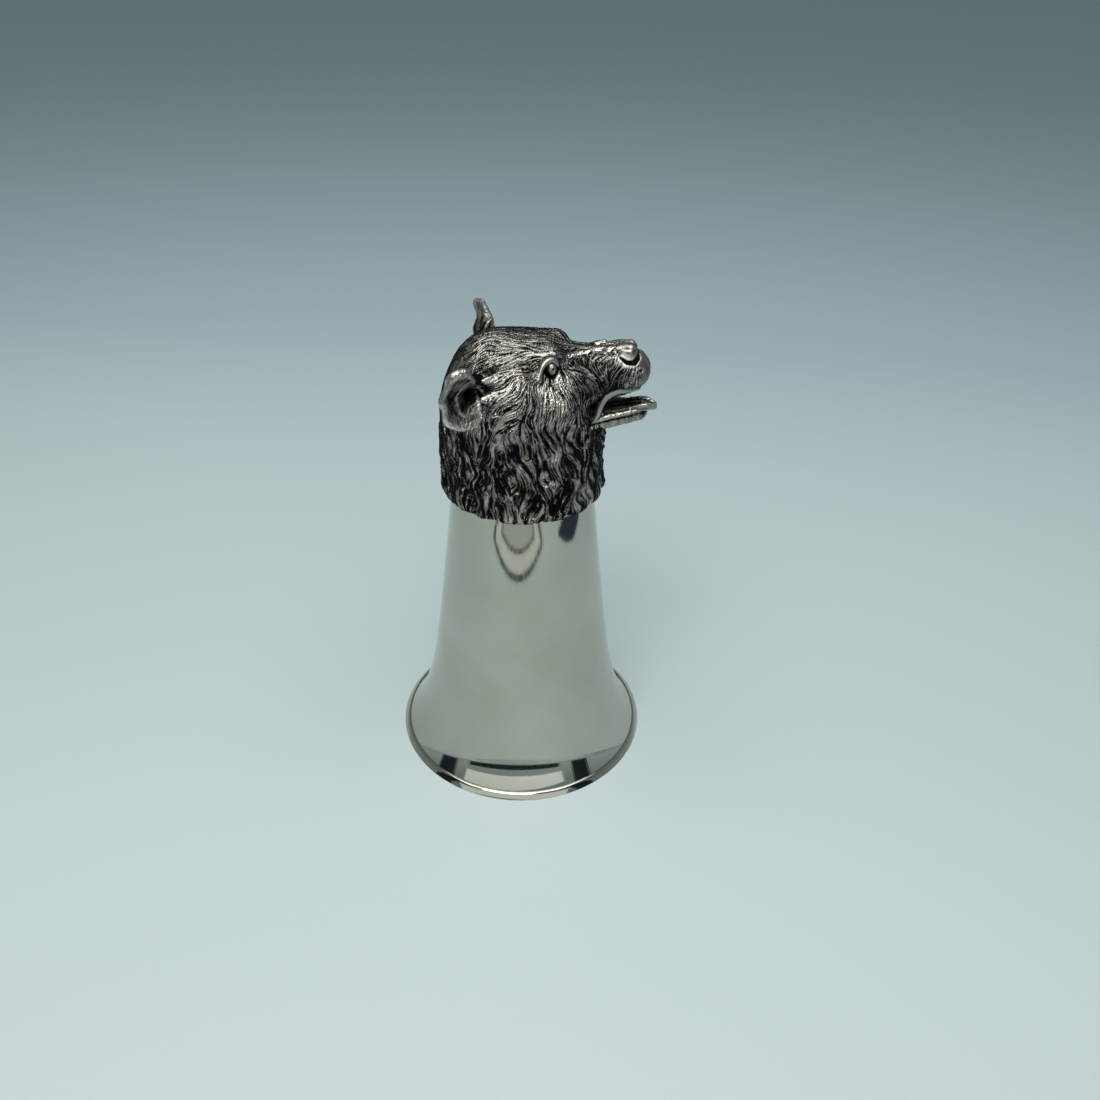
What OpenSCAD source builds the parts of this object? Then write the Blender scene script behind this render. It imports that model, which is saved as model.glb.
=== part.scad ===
// Stirrup cup: a flared beaker that stands on its mouth, with a cast bear's head
// soldered over its closed end. Millimetres. +Z is up, the bear looks along +X, and
// the origin is the centre of the rim that the cup stands on.

/* [Cup] */
// Outside diameter of the rim, over its wire
rim_d = 70; // [60:1:80]
// Height of the bare body, from the rim up to the mane's lower edge
body_h = 81; // [70:1:95]
// Outside diameter of the body at the mane's lower edge
waist_d = 36; // [33:0.5:38]
// Widening of the body's radius for each millimetre down from the waist
body_taper = 0.113; // [0.08:0.005:0.14]
// Height over which the flare at the mouth dies away
flare_h = 10; // [7:0.5:14]
// Thickness of the spun wall
cup_wall = 1.2; // [0.8:0.1:1.6]
// Thickness of the cup's closed end
cup_floor = 1.6; // [1:0.1:3]
// Length of the cup that goes up inside the head
seat_depth = 15.5; // [12:0.5:18]
// Thickness of the solder between the cup and the head
solder_t = 0.25; // [0.15:0.05:0.4]

/* [Rim wire] */
// Height of the wire round the rim
wire_h = 1.5; // [1:0.1:2.5]
// How far the wire stands out from the rim
wire_w = 0.6; // [0.4:0.1:1.2]

/* [Head] */
// Diameter of the mane at its lower edge
mane_d = 41.6; // [41:0.2:46]
// Diameter of the skull
skull_d = 37.2; // [36:0.2:40]
// Height of the crown above the mane's lower edge
crown_h = 39.8; // [37:0.2:43]
// Length of the muzzle, from the brow to the middle of the snout
muzzle_l = 20.2; // [17:0.2:23]
// Width of the snout
snout_w = 9.4; // [8:0.2:11]
// Height of the hollow inside the casting, above the mane's lower edge
hollow_h = 31; // [26:0.5:33]
// Diameter of the hollow where it meets the cup's closed end
hollow_d = 23; // [16:0.5:26]
// Number of locks in one row of the mane, round the neck
lock_count = 16; // [12:2:18]
// Depth of the deepest hollow between the locks
lock_depth = 1.4; // [0.6:0.1:1.5]
// Height of one row of locks
lock_h = 7.8; // [6:0.2:10]

/* [Mouth] */
// Reach of the chin in front of the cup's axis
chin_x = 27.4; // [25:0.2:29]
// Width of the lower jaw at its root
jaw_w = 12.4; // [11:0.2:13.4]
// Depth of the trough that the tongue lies in
trough_depth = 1.3; // [0.8:0.1:1.6]
// Height of the two lower canine teeth
tooth_h = 2.6; // [1.6:0.1:3]
// Reach of the tongue's tip in front of the cup's axis
tongue_x = 32; // [30:0.2:33.4]
// Width of the tongue near its tip
tongue_w = 6; // [5:0.2:6.6]
// Thickness of the tongue
tongue_t = 1.2; // [0.9:0.1:1.5]

/* [Ears and eyes] */
// Height of an ear
ear_h = 15; // [13:0.2:17]
// Width of an ear
ear_w = 11; // [9:0.2:12]
// Least thickness of an ear
ear_t = 1.1; // [0.8:0.1:1.4]
// Depth of the hollow in an ear
ear_depth = 3.6; // [2.5:0.1:4.5]
// Diameter of an eye
eye_d = 3.6; // [3:0.1:4.2]
// Bulge of an eye above its edge
eye_bulge = 0.9; // [0.6:0.1:1.3]
// Gap that the solder fills under each piece set into the head
set_gap = 0.1; // [0.05:0.01:0.2]

/* [Hidden] */
$fn = 96;

// Body: a straight taper, plus a flare that dies away up from the mouth
cup_h = body_h + seat_depth;
bare_rim_r = rim_d / 2 - wire_w;
flare_r = bare_rim_r - waist_d / 2 - body_taper * body_h;
body_steps = 34;
function cup_r(z) = waist_d / 2 + body_taper * (body_h - z) + flare_r * exp(-z / flare_h);
// Heights crowd towards the mouth, where the body bends most
function body_z(i, top) = top * pow(i / body_steps, 1.8);

// The head is a skin drawn over an armature of tapered bones, in the head's own frame:
// z is measured up from the mane's lower edge. A bone is [start, end, start radius,
// end radius]. A bone off the middle plane stands for itself and its mirror image.
brow_x = 6;
snout_x = brow_x + muzzle_l;
snout_r = snout_w / 2 - 1.1;
crown_r = 10.6;
crown_z = crown_h - crown_r;
mouth_z = 24;
skin_blend = 1.1;
bones = [
    // neck and the back of the skull
    [[0, 0, 0], [-1.6, 0, 20.4], mane_d / 2 - 0.1, skull_d / 2],
    // crown and forehead
    [[-6, 0, crown_z - 0.6], [2.5, 0, crown_z], crown_r + 0.6, crown_r - 0.6],
    // brow ridges
    [[-3, 7, 31.8], [brow_x + 0.6, 5.9, 35.2], 4.6, 2.5],
    // cheeks
    [[-3, 10, 20.8], [8, 7.5, 24.3], 9.5, 6.5],
    // bridge of the nose
    [[brow_x, 0, 33.4], [snout_x - 0.6, 0, 35.6], 3.2, 2.5],
    // flanks of the muzzle
    [[8, 4.6, 29.8], [snout_x - 3.2, 2.9, 32.1], 4.4, 3],
    // snout
    [[snout_x - 3.2, 1.3, 32.2], [snout_x - 0.2, 1.1, 32.6], snout_r - 0.1, snout_r + 0.3],
    // nose pad
    [[snout_x - 2.2, 1.5, 37.2], [snout_x - 0.9, 1.4, 37.2], 1.5, 1.9],
    // upper lips
    [[12.5, 6.2, 26.8], [snout_x - 2.2, 3.2, 29.7], 1.5, 1.3],
    // throat
    [[8, 0, 11.8], [13.6, 0, 12.8], 11, 6.3]
];
// The open mouth and the eye sockets, taken out of the skin
eye_place = [7.2, 8.6, 35];
eye_axis = [0.42, 0.86, 0.28] / norm([0.42, 0.86, 0.28]);
hollows = [
    [[20, 0, mouth_z], [32, 0, mouth_z + 1], 4.2, 5.4],
    [eye_place + 0.9 * eye_axis, eye_place + 3 * eye_axis, eye_d / 2 + 0.3, eye_d / 2 + 1]
];
hollow_blend = 0.5;

// Distance of point p from the surface of a bone, less than 0 inside it
function bone_gap(p, bone) =
    let (run = bone[1] - bone[0],
         t = max(0, min(1, (p - bone[0]) * run / (run * run))))
    norm(p - bone[0] - t * run) - bone[2] - t * (bone[3] - bone[2]);
// Smooth least and greatest of distances
function blend(gaps, k) =
    let (least = min(gaps), near = [for (g = gaps) exp((least - g) / k)])
    least - k * ln(near * [for (g = near) 1]);
function skin_gap(p) =
    let (q = [p.x, abs(p.y), p.z],
         flesh = blend([for (bone = bones) bone_gap(q, bone)], skin_blend))
    -blend(concat([-flesh], [for (bone = hollows) bone_gap(q, bone)]), hollow_blend);
// Where a line out of the flesh first leaves the skin: it starts at point a, runs along
// the unit vector out, and is walked in steps and then halved
skin_step = 1.2;
function halve(a, out, low, high, turns = 9) =
    let (r = (low + high) / 2)
    turns == 0 ? a + r * out :
    skin_gap(a + r * out) < 0 ? halve(a, out, r, high, turns - 1) : halve(a, out, low, r, turns - 1);
function on_skin(a, out, r = 0) =
    skin_gap(a + (r + skin_step) * out) < 0
        ? on_skin(a, out, r + skin_step)
        : halve(a, out, r, r + skin_step);

// Rings of the skin. Up to the mouth they are level. Above it they fan out about a
// hinge in the open mouth, round the back of the skull and on to the snout.
hinge = [22, 0, mouth_z - 0.7];
ring_points = 96;
neck_rings = 17;
fan_rings = 26;
fan_end = 133;
// Distance of a fanned ring's middle from the hinge, against the fan's angle
ring_middle = [[0, 22], [20, 18], [45, 12.5], [70, 9.2], [90, 8.6], [115, 10], [fan_end, 9.6]];

// Polyhedron faces for closed rings of n points each, with a point at either end
function tube_faces(rings, n) = concat(
    [for (i = [0 : rings - 2], j = [0 : n - 1], half = [0, 1])
        let (a = i * n + j, b = i * n + (j + 1) % n)
        half == 0 ? [a, a + n, b] : [b, a + n, b + n]],
    [for (j = [0 : n - 1]) [rings * n, j, (j + 1) % n]],
    [for (j = [0 : n - 1]) [rings * n + 1, (rings - 1) * n + (j + 1) % n, (rings - 1) * n + j]]);

module cup_shell() {
    color("#8d9293") rotate_extrude() polygon(concat(
        [for (i = [0 : body_steps]) let (z = body_z(i, cup_h)) [cup_r(z), z]],
        [[0, cup_h], [0, cup_h - cup_floor]],
        [for (i = [body_steps : -1 : 0])
            let (z = body_z(i, cup_h - cup_floor)) [cup_r(z) - cup_wall, z]]));
}

// A half-round wire lying on the flare, ground flat to stand on
module rim_wire() {
    color("#9a9fa0") rotate_extrude() polygon(concat(
        [for (i = [6 : -1 : 0]) let (z = wire_h * i / 6) [cup_r(z), z]],
        [for (i = [0 : 10]) let (t = i / 10)
            [cup_r(wire_h * t) + wire_w * sqrt(1 - pow(t, 3)), wire_h * t]]));
}

// A sleeve of solder round the part of the cup inside the head
module solder_joint() {
    color("#b9bcb8") rotate_extrude() polygon([
        [cup_r(body_h), body_h], [cup_r(cup_h), cup_h],
        [cup_r(cup_h) + solder_t, cup_h], [cup_r(body_h) + solder_t, body_h]]);
}

// Depth of the mane between its locks. The hollows are eye-shaped. They lie in waving rows,
// set off by half a lock, and neighbours aren't equally deep.
function lock_groove(turn, z) =
    let (level = z / lock_h + 0.2 * sin(4 * turn + 30), row = floor(level), up = level - row,
         sway = 50 * sin(360 * z / (1.6 * lock_h) + 3 * turn),
         between = (1 - cos(lock_count * turn + 180 * (row % 2) + sway)) / 2,
         strength = 0.7 + 0.3 * sin(7 * turn + 100 * row),
         fade = max(0, 1 - pow(z / 23, 4)))
    lock_depth * fade * strength * pow(between, 1.1) * pow(sin(180 * up), 0.6);

// Level ring of the casting's inside
function bore_ring(r, z) =
    [for (j = [0 : ring_points - 1]) let (turn = 360 * j / ring_points)
        [r * cos(turn), r * sin(turn), z]];

// The casting: its hollow and the socket for the cup, then round the mane's lower edge
// and over the skin to the snout, as one run of rings
module head_casting() {
    half = ring_points / 2;
    // the flats of a bore ring clear the round cup
    flat = 1 / cos(180 / ring_points);
    dome_h = hollow_h - seat_depth;
    dome = [for (a = [75 : -15 : 0])
        bore_ring(flat * hollow_d / 2 * cos(a), seat_depth + dome_h * sin(a))];
    socket = [bore_ring(flat * (cup_r(cup_h) + solder_t), seat_depth),
              bore_ring(flat * (cup_r(body_h) + solder_t), 0)];
    level = [for (i = [0 : neck_rings - 1])
        let (z = hinge.z * i / neck_rings)
        [for (j = [0 : half])
            let (turn = 180 * j / half, out = [cos(turn), sin(turn), 0], middle = [0, 0, z],
                 p = on_skin(middle, out))
            p - lock_groove(turn, z) * out]];
    fan = [for (i = [0 : fan_rings])
        let (lean = fan_end * i / fan_rings, away = [-cos(lean), 0, sin(lean)],
             middle = hinge + lookup(lean, ring_middle) * away)
        [for (j = [0 : half])
            let (turn = 180 * j / half, out = -cos(turn) * away + [0, sin(turn), 0])
            on_skin(middle, out)]];
    skin = [for (ring = concat(level, fan))
        [for (j = [0 : ring_points - 1])
            let (p = ring[min(j, ring_points - j)]) j <= half ? p : [p.x, -p.y, p.z]]];
    rings = concat(dome, socket, skin);
    last = skin[len(skin) - 1];
    points = concat([for (ring = rings, p = ring) p],
        [[0, 0, hollow_h], (last[0] + last[half]) / 2]);
    color("#5c5f5e") translate([0, 0, body_h])
        polyhedron(points, tube_faces(len(rings), ring_points), 6);
}

// The lower jaw: sections square to X, from a root that fits the throat to the chin
jaw_back = 12;
jaw_out = 25;
jaw_sides = 28;
jaw_rings = 14;
lip_z = 22.2;
chin_z = 20.4;
throat_x = 19;
throat_z = 15;
jaw_corner = 0.4;
root_shares = [0.35, 0.7];
function jaw_share(x) = (x - jaw_back) / (chin_x - jaw_back);
// Half width, underside and trough of the jaw at x
function jaw_half(x) = let (t = jaw_share(x)) (jaw_w / 2) * (1 - 0.12 * t) * sqrt(1 - pow(t, 3));
function jaw_under(x) =
    throat_z + (chin_z - throat_z) * pow(max(0, (x - throat_x) / (chin_x - throat_x)), 0.8);
function trough_z(y, half) = lip_z - trough_depth * max(0, 1 - pow(y / (0.8 * half), 2));
function jaw_point(x, j, share) =
    let (half = jaw_half(x), under = jaw_under(x), n = jaw_sides / 2,
         y = half * (1 - 2 * j / (n - 1)), a = 180 * (j - n + 1) / (n + 1),
         side_z = lip_z - jaw_corner,
         p = j < n ? [x, y, trough_z(y, half)]
                   : [x, -half * cos(a), side_z - (side_z - under) * pow(sin(a), 0.6)],
         middle = [x, 0, (lip_z + under) / 2])
    middle + share * (p - middle);
function jaw_root(j, share, low = jaw_back, high = jaw_out, steps = 12) =
    let (x = (low + high) / 2)
    steps == 0 ? x :
    skin_gap(jaw_point(x, j, share)) < set_gap
        ? jaw_root(j, share, x, high, steps - 1)
        : jaw_root(j, share, low, x, steps - 1);

tooth_d = 1.6;
tooth_x = chin_x - 4.4;

module canine() {
    side = jaw_half(tooth_x) - tooth_d * 0.6;
    translate([tooth_x, side, lip_z - 1]) cylinder(h = tooth_h + 1, d1 = tooth_d, d2 = tooth_d / 3);
}

module lower_jaw() {
    sides = [for (j = [0 : jaw_sides - 1]) j];
    root = [for (share = root_shares)
        [for (j = sides) jaw_point(jaw_root(j, share), j, share)]];
    starts = [for (j = sides) jaw_root(j, 1)];
    body = [for (i = [0 : jaw_rings - 1]) let (t = sin(87 * i / (jaw_rings - 1)))
        [for (j = sides) jaw_point(starts[j] + (chin_x - starts[j]) * t, j, 1)]];
    rings = concat(root, body);
    points = concat([for (ring = rings, p = ring) p],
        [jaw_point(jaw_root(0, 0), 0, 0), [chin_x, 0, (lip_z + chin_z) / 2]]);
    color("#6a6d6b") translate([0, 0, body_h]) {
        polyhedron(points, tube_faces(len(rings), jaw_sides), 6);
        canine();
        mirror([0, 1, 0]) canine();
    }
}

// The tongue lies in the trough, lifts over the lower lip and droops at its tip
tongue_sides = 20;
tongue_rings = 16;
tongue_back = 18.4;
tongue_lift = 1.6;
tongue_droop = 1.6;
tongue_bend = 0.56;
tongue_rest = lip_z - trough_depth + set_gap;
function ease(t) = (1 - cos(180 * max(0, min(1, t)))) / 2;
function tongue_z(t) =
    tongue_rest + tongue_lift * ease(t / tongue_bend)
    - tongue_droop * pow(max(0, t - tongue_bend) / (1 - tongue_bend), 2);
function tongue_half(t) = tongue_w * (0.36 + 0.14 * ease(t / 0.75)) * sqrt(1 - pow(t, 8));
function tongue_point(t, j) =
    let (n = tongue_sides, a = 360 * (j + 0.5) / n, s = cos(a),
         thick = tongue_t * sqrt(1 - pow(t, 6)),
         curl = 0.7 * s * s * t,
         groove = a < 180 ? 0.3 * exp(-pow(4 * s, 2)) : 0)
    [tongue_back + (tongue_x - tongue_back) * t, tongue_half(t) * s,
     tongue_z(t) + curl + thick * (0.5 + 0.5 * sin(a) - groove)];

module tongue() {
    rings = [for (i = [0 : tongue_rings - 1]) let (t = sin(88 * i / (tongue_rings - 1)))
        [for (j = [0 : tongue_sides - 1]) tongue_point(t, j)]];
    points = concat([for (ring = rings, p = ring) p],
        [[tongue_back, 0, tongue_z(0) + tongue_t / 2], [tongue_x, 0, tongue_z(1)]]);
    color("#77797a") translate([0, 0, body_h])
        polyhedron(points, tube_faces(len(rings), tongue_sides), 6);
}

// An ear: a cupped leaf on a stem. Lines run back from its outline along a bent path
// to the skull, and stop short of the skin by the gap that the solder fills.
ear_place = [-10.3, 17.8, 32];
ear_root = [-6, 7, 28];
ear_turn = 59;
ear_rise = 7;
ear_splay = 9;
ear_stem = 0.42;
ear_sides = 28;
ear_shares = [0.3, 0.6, 0.86];
ear_face = [cos(ear_turn) * cos(ear_rise), sin(ear_turn) * cos(ear_rise), sin(ear_rise)];
ear_up0 = [-0.1, sin(ear_splay), 1];
ear_up = (ear_up0 - (ear_up0 * ear_face) * ear_face) / norm(ear_up0 - (ear_up0 * ear_face) * ear_face);
ear_side = cross(ear_up, ear_face);
function ear_outline(turn) =
    let (b = cos(turn), narrow = 1 - 0.3 * max(-0.3, b))
    ear_side * ear_w / 2 * sin(turn) * narrow + ear_up * ear_h / 2 * b;
function ear_point(turn, share, s) =
    ear_place + share * ear_outline(turn) * (1 - ear_stem * s)
    - 2 * s * (1 - s) * ear_depth * ear_face + s * s * (ear_root - ear_place);
// How far along its path a line of the ear meets the skin
function ear_seat(turn, share, low = 0, high = 1, steps = 12) =
    let (s = (low + high) / 2)
    steps == 0 ? s :
    skin_gap(ear_point(turn, share, s)) > set_gap
        ? ear_seat(turn, share, s, high, steps - 1)
        : ear_seat(turn, share, low, s, steps - 1);
function ear_bowl(turn, share, seat) =
    min(0.42 * (1 - share * share), seat - ear_t / 7);

module ear() {
    turns = [for (j = [0 : ear_sides - 1]) 360 * j / ear_sides];
    seats = [for (share = concat(ear_shares, [1])) [for (turn = turns) ear_seat(turn, share)]];
    inner = [for (k = [0 : len(ear_shares) - 1]) [for (j = [0 : ear_sides - 1])
        ear_point(turns[j], ear_shares[k], ear_bowl(turns[j], ear_shares[k], seats[k][j]))]];
    lip = [for (turn = turns) ear_point(turn, 0.95, 0) + 0.35 * ear_face];
    outer = [for (k = [0 : 4]) [for (j = [0 : ear_sides - 1])
        ear_point(turns[j], 1, seats[3][j] * k / 4)]];
    under = [for (k = [len(ear_shares) - 1 : -1 : 0]) [for (j = [0 : ear_sides - 1])
        ear_point(turns[j], ear_shares[k], seats[k][j])]];
    rings = concat(inner, [lip], outer, under);
    points = concat([for (ring = rings, p = ring) p],
        [ear_point(0, 0, ear_bowl(0, 0, ear_seat(0, 0))), ear_point(0, 0, ear_seat(0, 0))]);
    polyhedron(points, tube_faces(len(rings), ear_sides), 6);
}

module left_ear() {
    color("#6a6d6b") translate([0, 0, body_h]) ear();
}

module right_ear() {
    color("#6a6d6b") translate([0, 0, body_h]) mirror([0, 1, 0]) ear();
}

// An eye: a domed bead in its socket, with an underside that fits the skin
eye_sides = 18;
eye_edge = 0.2;
eye_across = cross([0, 0, 1], eye_axis) / norm(cross([0, 0, 1], eye_axis));
function eye_point(turn, share, w) =
    eye_place + w * eye_axis
    + share * eye_d / 2 * (cos(turn) * eye_across + sin(turn) * cross(eye_axis, eye_across));
function eye_seat(turn, share, low = -4, high = 2, steps = 12) =
    let (w = (low + high) / 2)
    steps == 0 ? w :
    skin_gap(eye_point(turn, share, w)) < set_gap
        ? eye_seat(turn, share, w, high, steps - 1)
        : eye_seat(turn, share, low, w, steps - 1);

module eye() {
    turns = [for (j = [0 : eye_sides - 1]) 360 * j / eye_sides];
    edge = max([for (turn = turns) eye_seat(turn, 1)]) + eye_edge;
    under = [for (share = [0.5, 1]) [for (turn = turns)
        eye_point(turn, share, eye_seat(turn, share))]];
    dome = [for (a = [0, 25, 50, 72]) [for (turn = turns)
        eye_point(turn, cos(a), edge + eye_bulge * sin(a))]];
    rings = concat(under, dome);
    points = concat([for (ring = rings, p = ring) p],
        [eye_point(0, 0, eye_seat(0, 0)), eye_point(0, 0, edge + eye_bulge)]);
    polyhedron(points, tube_faces(len(rings), eye_sides), 6);
}

module left_eye() {
    color("#4c4e4e") translate([0, 0, body_h]) eye();
}

module right_eye() {
    color("#4c4e4e") translate([0, 0, body_h]) mirror([0, 1, 0]) eye();
}

cup_shell();
rim_wire();
solder_joint();
head_casting();
lower_jaw();
tongue();
left_ear();
right_ear();
left_eye();
right_eye();
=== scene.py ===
"""Stirrup cup with a cast bear's head: the looks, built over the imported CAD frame.

The head is carved as a distance field, in millimetres. As in the CAD model, the bear looks along +X, Z is up
and the cup stands on Z = 0. Meshes are turned into metres when they are made.
"""
import math

import bpy
import numpy as np
import openvdb
from mathutils import Matrix, Vector


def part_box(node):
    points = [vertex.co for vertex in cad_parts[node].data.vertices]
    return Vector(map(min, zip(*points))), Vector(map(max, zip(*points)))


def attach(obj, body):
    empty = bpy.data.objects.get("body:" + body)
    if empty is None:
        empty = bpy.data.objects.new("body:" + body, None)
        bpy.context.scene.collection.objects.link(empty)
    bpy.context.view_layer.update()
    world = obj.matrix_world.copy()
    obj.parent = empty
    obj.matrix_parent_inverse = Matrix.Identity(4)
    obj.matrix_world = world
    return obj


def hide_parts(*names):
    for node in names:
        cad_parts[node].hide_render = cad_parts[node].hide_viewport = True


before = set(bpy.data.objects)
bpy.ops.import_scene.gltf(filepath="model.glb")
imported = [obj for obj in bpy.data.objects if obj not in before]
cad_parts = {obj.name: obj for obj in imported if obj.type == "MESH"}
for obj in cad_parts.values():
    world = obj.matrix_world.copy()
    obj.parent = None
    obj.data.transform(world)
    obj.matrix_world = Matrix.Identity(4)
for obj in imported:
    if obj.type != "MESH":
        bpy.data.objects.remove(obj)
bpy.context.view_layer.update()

MM = 0.001
BODY = "root"
SEED = 7


def node_box(name):
    """Lowest and highest corner of a CAD node, in millimetres."""
    low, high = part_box(name)
    return np.array(low) / MM, np.array(high) / MM


RIM_R = node_box("rim_wire")[1][0]
WIRE_H = node_box("rim_wire")[1][2]
BARE_RIM_R = node_box("cup_shell")[1][0]
CUP_H = node_box("cup_shell")[1][2]
HEM_Z = node_box("head_casting")[0][2]
PITCH = 0.16


# Meshes

def add_object(name, data):
    thing = bpy.data.objects.new(name, data)
    bpy.context.scene.collection.objects.link(thing)
    return thing


def mesh_object(name, points, faces=()):
    """A smooth mesh object from points in millimetres, with faces that all have as many corners."""
    mesh = bpy.data.meshes.new(name)
    points = np.asarray(points, np.float64) * MM
    faces = np.asarray(faces, np.int32)
    mesh.vertices.add(len(points))
    mesh.vertices.foreach_set("co", points.ravel())
    if len(faces):
        mesh.loops.add(faces.size)
        mesh.loops.foreach_set("vertex_index", faces.ravel())
        mesh.polygons.add(len(faces))
        mesh.polygons.foreach_set("loop_start", np.arange(0, faces.size, faces.shape[1], dtype=np.int32))
    mesh.update(calc_edges=True)
    if len(faces):
        mesh.shade_smooth()
    return add_object(name, mesh)


def apply_modifiers(thing):
    """Turns an object with modifiers into a plain mesh object of the same name."""
    bpy.context.view_layer.update()
    graph = bpy.context.evaluated_depsgraph_get()
    mesh = bpy.data.meshes.new_from_object(thing.evaluated_get(graph))
    thing.modifiers.clear()
    thing.data = mesh
    mesh.name = thing.name


def point_values(thing):
    """The points of an object's mesh, in millimetres."""
    flat = np.empty(len(thing.data.vertices) * 3, np.float32)
    thing.data.vertices.foreach_get("co", flat)
    return flat.reshape(-1, 3) / np.float32(MM)


def store(thing, name, values):
    """Keeps one number for each point of an object, as a named attribute."""
    attribute = thing.data.attributes.new(name, "FLOAT", "POINT")
    attribute.data.foreach_set("value", np.ascontiguousarray(values, np.float32))


# Node trees

def node(tree, kind, inputs=(), **settings):
    """Adds a node, sets it up, and feeds its inputs with links or values."""
    made = tree.nodes.new(kind)
    for key, value in settings.items():
        setattr(made, key, value)
    for key, value in dict(inputs).items():
        if isinstance(value, bpy.types.NodeSocket):
            tree.links.new(value, made.inputs[key])
        else:
            made.inputs[key].default_value = value
    return made


def sums(tree, operation, *values):
    """Adds a Math node and gives its result."""
    return node(tree, "ShaderNodeMath", dict(enumerate(values)), operation=operation).outputs[0]


def vector_sums(tree, operation, *values):
    """Adds a Vector Math node and gives its vector."""
    return node(tree, "ShaderNodeVectorMath", dict(enumerate(values)), operation=operation).outputs["Vector"]


def scaled(tree, vector, factor):
    made = node(tree, "ShaderNodeVectorMath", {0: vector, "Scale": factor}, operation="SCALE")
    return made.outputs["Vector"]


def value_of(tree, name):
    """The number that each point keeps under a name."""
    named = node(tree, "GeometryNodeInputNamedAttribute", {"Name": name}, data_type="FLOAT")
    return named.outputs["Attribute"]


def new_tree(name, inputs):
    """A Geometry Nodes tree with named inputs, given as name: (socket kind, value)."""
    tree = bpy.data.node_groups.new(name, "GeometryNodeTree")
    tree.interface.new_socket("Geometry", in_out="OUTPUT", socket_type="NodeSocketGeometry")
    tree.interface.new_socket("Geometry", in_out="INPUT", socket_type="NodeSocketGeometry")
    for label, (kind, value) in inputs.items():
        socket = tree.interface.new_socket(label, in_out="INPUT", socket_type="NodeSocket" + kind)
        if value is not None:
            socket.default_value = value
    start = node(tree, "NodeGroupInput")
    return tree, start.outputs


def end_tree(tree, geometry, material):
    """Ends a tree with plain geometry in one material."""
    real = node(tree, "GeometryNodeRealizeInstances", {"Geometry": geometry})
    dressed = node(tree, "GeometryNodeSetMaterial", {"Geometry": real.outputs[0], "Material": material})
    node(tree, "NodeGroupOutput", {"Geometry": dressed.outputs[0]})


def grow(thing, tree, values):
    """Runs a Geometry Nodes tree on an object, with inputs given by name, and keeps the plain mesh."""
    modifier = thing.modifiers.new(tree.name, "NODES")
    modifier.node_group = tree
    names = {item.name: item.identifier for item in tree.interface.items_tree if item.in_out == "INPUT"}
    for label, value in values.items():
        modifier[names[label]] = value
    apply_modifiers(thing)
    thing.data.shade_smooth()
    return thing


# Materials

def new_material(name):
    material = bpy.data.materials.new(name)
    material.use_nodes = True
    return material, material.node_tree, material.node_tree.nodes["Principled BSDF"]


def ramp(tree, factor, stops):
    """Colours, or greys given as one number, along a factor from 0 to 1."""
    made = node(tree, "ShaderNodeValToRGB", {"Fac": factor})
    ends = made.color_ramp.elements
    while len(ends) < len(stops):
        ends.new(0.5)
    for element, (place, colour) in zip(ends, stops):
        element.position = place
        element.color = (colour, colour, colour, 1) if isinstance(colour, float) else (*colour, 1)
    return made.outputs["Color"]


def noise(tree, place, scale, detail=3.0):
    made = node(tree, "ShaderNodeTexNoise", {"Vector": place, "Scale": scale, "Detail": detail})
    return made.outputs["Fac"]


def new_metal(name):
    """A metal, with its tree, its shader and the place of each point on its piece."""
    material, tree, shader = new_material(name)
    shader.inputs["Metallic"].default_value = 1.0
    place = node(tree, "ShaderNodeTexCoord").outputs["Object"]
    return material, tree, shader, place


def add_bump(tree, shader, height, strength, distance):
    """Roughens a surface with heights too small to model. The distance is in metres."""
    bump = node(tree, "ShaderNodeBump", {"Height": height, "Strength": strength, "Distance": distance})
    tree.links.new(bump.outputs["Normal"], shader.inputs["Normal"])


CAST_BRIGHT = (0.72, 0.685, 0.61)
CAST_MIDDLE = tuple(0.28 * part for part in CAST_BRIGHT)
CAST_DARK = (0.005, 0.005, 0.006)
WEAR_LIGHT_LOW = 0.2
WEAR_LIGHT_MIDDLE = 0.52
WEAR_LIGHT_HIGH = 0.95
PATCH_SPREAD = 0.16


def antiqued_pewter():
    """Cast pewter, blackened in its hollows and rubbed bright on its ridges, and toned with painted
    highlights and painted shade from the same value.
    """
    material, tree, shader, place = new_metal("antiqued_pewter")
    # This value holds patina and wear, and also painted highlights and painted shade.
    wear_and_painted_light = node(tree, "ShaderNodeAttribute", attribute_name="wear_and_painted_light").outputs["Fac"]
    patches = noise(tree, place, 330.0, 4.0)
    wear_and_light = sums(tree, "ADD", wear_and_painted_light, sums(tree, "MULTIPLY_ADD", patches, PATCH_SPREAD, -PATCH_SPREAD / 2))
    tone = ramp(tree, wear_and_light, [(WEAR_LIGHT_LOW, CAST_DARK), (WEAR_LIGHT_MIDDLE, CAST_MIDDLE), (WEAR_LIGHT_HIGH, CAST_BRIGHT)])
    tree.links.new(tone, shader.inputs["Base Color"])
    tree.links.new(ramp(tree, wear_and_light, [(WEAR_LIGHT_LOW, 0.5), (WEAR_LIGHT_HIGH, 0.26)]), shader.inputs["Roughness"])
    add_bump(tree, shader, noise(tree, place, 2600.0), 0.25, 0.0001)
    return material


def polished_pewter():
    """Spun pewter, polished, with faint upright brush lines."""
    material, tree, shader, place = new_metal("polished_pewter")
    round_place = node(tree, "ShaderNodeAttribute", attribute_name="spin_place").outputs["Vector"]
    lines = noise(tree, round_place, 1.0)
    tone = ramp(tree, noise(tree, place, 45.0), [(0.3, (0.44, 0.44, 0.37)), (0.7, (0.52, 0.52, 0.455))])
    tree.links.new(tone, shader.inputs["Base Color"])
    tree.links.new(ramp(tree, lines, [(0.25, 0.03), (0.75, 0.08)]), shader.inputs["Roughness"])
    add_bump(tree, shader, lines, 0.2, 0.00005)
    return material


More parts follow.
